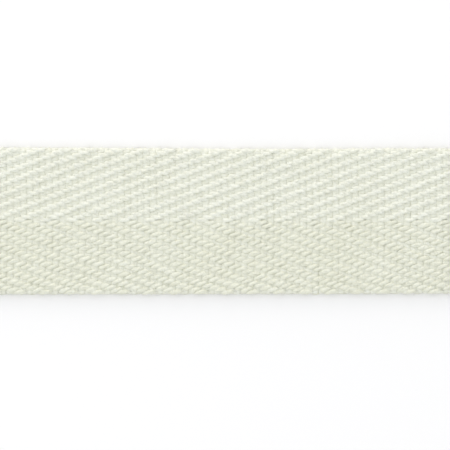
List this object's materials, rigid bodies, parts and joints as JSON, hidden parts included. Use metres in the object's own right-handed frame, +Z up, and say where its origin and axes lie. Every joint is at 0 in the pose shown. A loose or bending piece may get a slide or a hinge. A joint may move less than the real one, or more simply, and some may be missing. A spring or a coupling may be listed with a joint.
{
  "type": "cut length of twill tape",
  "caption": "Flat cut length of ivory cotton herringbone twill tape, with twill ribs that meet along the middle, and woven edges.",
  "frame": {"origin": "middle of the flat underside, on the surface that the tape lies on", "axes": "+X along the tape, away from the points of the chevrons; +Y across it; +Z up, out of the face"},
  "size_m": [0.096, 0.019, 0.001],
  "materials": {
    "ivory_cotton": "woven, matt"
  },
  "bodies": {
    "root": {"tape": "ivory_cotton"}
  },
  "joints": []
}
